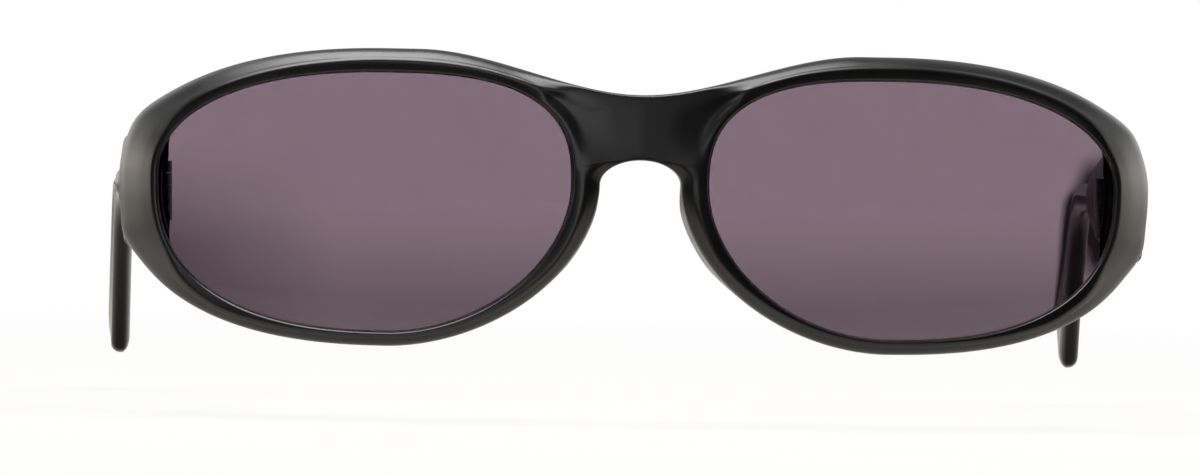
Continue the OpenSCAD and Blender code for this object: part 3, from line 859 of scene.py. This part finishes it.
def make_world(ambient, front, behind):
    """White for the camera and through the lenses.

    Reflections see a glow behind, weaker straight behind, and a dim room in front.
    """
    world = bpy.data.worlds.new("studio")
    bpy.context.scene.world = world
    world.use_nodes = True
    tree = world.node_tree
    back = tree.nodes["Background"]
    back.inputs["Color"].default_value = (1, 1, 1, 1)
    path = tree.nodes.new("ShaderNodeLightPath")
    axes = axes_of(tree, "Generated")
    glow = spread(tree, axes["Y"], front, behind, -0.1, 0.6)
    aside = spread(tree, calculate(tree, "ABSOLUTE", axes["X"]), 0.3, 1.0, 0.15, 0.5)
    level = tree.nodes.new("ShaderNodeMix")
    level.inputs["A"].default_value = ambient
    tree.links.new(path.outputs["Is Glossy Ray"], level.inputs["Factor"])
    tree.links.new(calculate(tree, "MULTIPLY", glow, aside), level.inputs["B"])
    top = calculate(tree, "MAXIMUM", seen_directly(tree, path), level.outputs["Result"])
    tree.links.new(top, back.inputs["Strength"])


def make_backdrop(side):
    """Half of a card behind the object, which shows through the lenses alone.

    It is bright above the temples, with painted shade below them and darker painted shade in the
    right lower corner.
    """
    mesh = bpy.data.meshes.new("backdrop_" + side)
    start, end = (-CARD_HALF, 0.0) if side == "right" else (0.0, CARD_HALF)
    corners = [(start, 0, FLOOR_Z), (end, 0, FLOOR_Z), (end, 0, CARD_TOP), (start, 0, CARD_TOP)]
    mesh.from_pydata([Vector(c) for c in corners], [], [(0, 1, 2, 3)])
    card = add_object("backdrop_" + side, mesh)
    card.location = (0, CARD_Y, 0)
    card.visible_camera = False
    card.visible_glossy = False
    card.visible_diffuse = False
    card.visible_shadow = False
    mat, tree, shader = node_material("backdrop_pale_" + side)
    axes = axes_of(tree, "Object")
    # Painted shade: the card is darker below the temples and darker still in the right lower corner
    height = spread(tree, axes["Z"], 0.0, 1.0, *PAINTED_SHADE_RAMP)
    # Painted shade in the right lower corner, fading upwards and towards the middle
    below = spread(tree, axes["Z"], 1.0, 0.0, *CORNER_SHADE_RAMP)
    aside = spread(tree, axes["X"], CORNER_SHADE_DARKNESS, 0.0, *CORNER_SHADE_SIDE)
    away = calculate(tree, "MULTIPLY", below, aside)
    shaded_tone = blend(tree, away, blend(tree, height, SHADED_CARD_TONE, UNSHADED_CARD_TONE), CORNER_SHADE_BLACK)
    tree.links.new(shaded_tone, shader.inputs["Base Color"])
    # Painted fill light: the card's glow, stronger in its dark corner
    shader.inputs["Emission Color"].default_value = (1, 1, 1, 1)
    painted_fill = spread(tree, away, *PAINTED_FILL_GLOW, 0.0, 0.85)
    tree.links.new(painted_fill, shader.inputs["Emission Strength"])
    shader.inputs["Roughness"].default_value = 1.0
    shader.inputs["Specular IOR Level"].default_value = 0.0
    mesh.materials.append(mat)
    return card


# Lights, in metres and watts
WARM, COOL, IVORY, WHITE = (1, 0.88, 0.74), (0.9, 0.95, 1), (1, 0.94, 0.86), (1, 1, 1)


def area_light(name, place, aim, size, power, colour=WHITE):
    data = bpy.data.lights.new(name, "AREA")
    data.shape = "RECTANGLE"
    data.size, data.size_y = size
    data.energy = power
    data.color = colour
    lamp = add_object(name, data)
    lamp.location = place
    lamp.rotation_mode = "QUATERNION"
    lamp.rotation_quaternion = (Vector(aim) - Vector(place)).to_track_quat("-Z", "Y")
    return lamp


def link_light(lamp, key, objects, state="INCLUDE"):
    """Limits what a lamp lights ("receiver") or what may shade it ("blocker")."""
    group = bpy.data.collections.new(lamp.name + "_" + key)
    for obj in objects:
        group.objects.link(obj)
    for item in group.collection_objects:
        item.light_linking.link_state = state
    setattr(lamp.light_linking, key + "_collection", group)


def light_studio(lenses, temples, tips, floor, cards):
    """General lamps spare the floor and the card, which have lamps of their own.

    The front softbox makes the line along the rims and spares lenses, temples and tips. The top one
    spares the tips, whose highlights come from the two tip lights.
    """
    arms = temples + tips
    above = area_light("softbox_top", (-0.13, -0.11, 0.45), (-0.045, 0.0, 0), (0.4, 0.42), 4.8)
    ahead = area_light("softbox_front", (-0.16, -0.79, 0.09), (0, 0.0, 0), (0.32, 0.2), 0.42)
    general = [(above, tips), (ahead, lenses + arms)]
    for name, side, power in (("panel_right", -1, 0.55), ("panel_left", 1, 0.35)):
        place, aim = (side * 0.6, 0.2, 0.05), (side * 0.05, 0.02, 0.0)
        general.append((area_light(name, place, aim, (0.5, 0.16), power, WARM), []))
    for lamp, spared in general:
        link_light(lamp, "receiver", cards + [floor] + spared, "EXCLUDE")
    for name, side, power in (("tip_light_right", -1, 5.0), ("tip_light_left", 1, 2.2)):
        place, aim = (side * 0.52, -0.7, 0.34), (side * 0.06, 0.02, 0)
        link_light(area_light(name, place, aim, (0.26, 0.26), power, COOL), "receiver", tips)
    overhead = area_light("floor_light", (0, 0, 0.7), (0, 0.02, 0), (0.8, 0.8), 8.0, IVORY)
    link_light(overhead, "receiver", [floor])
    for card, height in zip(cards, (0.069, 0.036)):
        place, aim = (0, -1.2, height), (0, CARD_Y, 0)
        lamp = area_light("light_" + card.name, place, aim, (0.03, 0.03), 440.0)
        link_light(lamp, "receiver", [card])
        link_light(lamp, "blocker", arms)


# Camera: angles in degrees, distance in metres, aim and width of view in millimetres
CAM_YAW, CAM_RISE, CAM_ROLL, CAM_DISTANCE = 2.52, 0.91, 1.09, 2.5
CAM_AIM, CAM_WIDTH, CAM_SENSOR = (-5.41, -4.22), 162.2, 36


def make_camera():
    """The photo's view: nearly square on, a little from the wearer's right, rolled a little."""
    yaw, rise, roll = (math.radians(a) for a in (CAM_YAW, CAM_RISE, CAM_ROLL))
    level = math.cos(rise)
    ahead = Vector((math.sin(yaw) * level, math.cos(yaw) * level, -math.sin(rise)))
    right0 = Vector((math.cos(yaw), -math.sin(yaw), 0))
    up0 = right0.cross(ahead)
    right = right0 * math.cos(roll) + up0 * math.sin(roll)
    up = up0 * math.cos(roll) - right0 * math.sin(roll)
    aim = right * CAM_AIM[0] * MM + up * CAM_AIM[1] * MM
    data = bpy.data.cameras.new("camera")
    data.sensor_width = CAM_SENSOR
    data.lens = CAM_SENSOR * CAM_DISTANCE / (CAM_WIDTH * MM)
    data.clip_start, data.clip_end = 0.01, 20
    camera = add_object("camera", data)
    turn = Matrix((right, up, -ahead)).transposed().to_4x4()
    camera.matrix_world = Matrix.Translation(aim - ahead * CAM_DISTANCE) @ turn
    bpy.context.scene.camera = camera


make_camera()
satin = plastic("satin_black", *BLACK_TONES, 0.31, 0.03, grain=0.35, shine=0.6)
temple_gloss = plastic("temple_black", *TEMPLE_TONES, 0.2, 0.03, grain=0.1, shine=0.25)
tip_gloss = plastic("tip_black", *BLACK_TONES, 0.1, 0.02, grain=0.04, shine=0.12)
glass = tinted_glass()
metals = {
    "hinge": metal("hinge_steel", (0.09, 0.088, 0.085), 0.32, (1, 1, 0.05)),
    "screw": metal("screw_steel", (0.7, 0.69, 0.67), 0.22, (1, 1, 0.3)),
    "core": metal("core_steel", (0.6, 0.59, 0.57), 0.5, (1, 0.05, 1)),
}

make_front(satin)
lenses, temples, tips = [], [], []
for which in ("right", "left"):
    lenses.append(make_lens(which, glass))
    temples.append(make_temple(which, temple_gloss))
    tips.append(make_tip(which, tip_gloss))

# The metal pieces keep their CAD solids. The last word of a node's name says which metal it is.
for node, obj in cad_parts.items():
    kind = node.split("_")[-1]
    if kind in metals:
        obj.data.materials.clear()
        obj.data.materials.append(metals[kind])

floor = make_floor()
backdrops = [make_backdrop("right"), make_backdrop("left")]
make_world(ambient=0.1, front=0.015, behind=2.0)
light_studio(lenses, temples, tips, floor, backdrops)

view_settings = bpy.context.scene.view_settings
view_settings.view_transform = "Standard"
